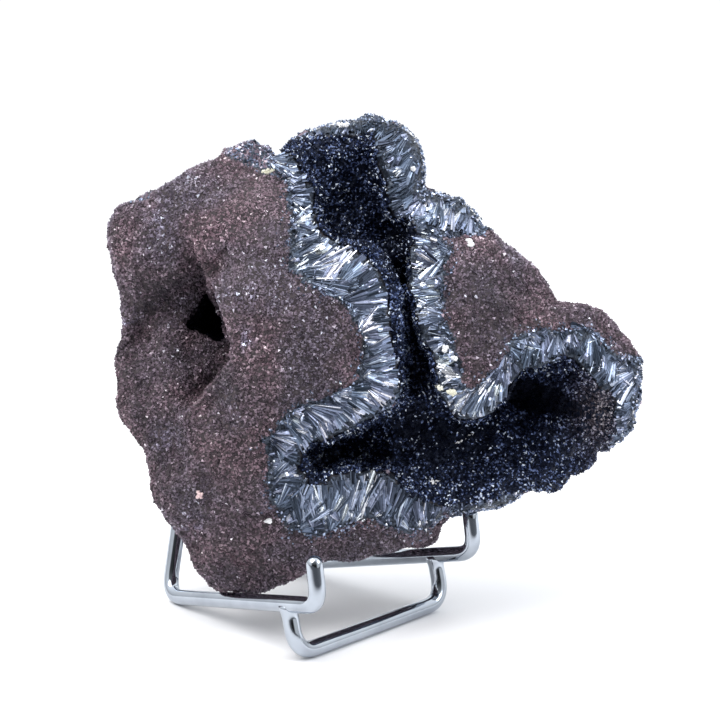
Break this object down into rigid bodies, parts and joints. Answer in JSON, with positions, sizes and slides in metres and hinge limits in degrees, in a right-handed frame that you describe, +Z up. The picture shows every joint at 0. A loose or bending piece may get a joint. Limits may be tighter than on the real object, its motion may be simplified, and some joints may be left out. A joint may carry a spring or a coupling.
{
  "type": "mineral specimen on a display easel",
  "caption": "Rough manganese ore stone with a brown drusy skin, silver crystal bands and black crystal-lined hollows, resting on a small bent-wire display easel.",
  "frame": {"origin": "on the floor, under the middle of the whole thing's box", "axes": "+X to the right of the stone's show face, +Y away from the viewer who faces it, +Z up"},
  "size_m": [0.105, 0.0648, 0.0993],
  "materials": {
    "ore": "rough, sparkling with tiny crystals, with silver-grey metallic crystal bands",
    "druse": "black glittering crystal crust",
    "wire": "bright mirror plating"
  },
  "bodies": {
    "root": {"ore_rock": "ore", "black_crystal_crust": "druse", "easel_wire": "wire", "easel_foot": "wire"}
  },
  "joints": []
}
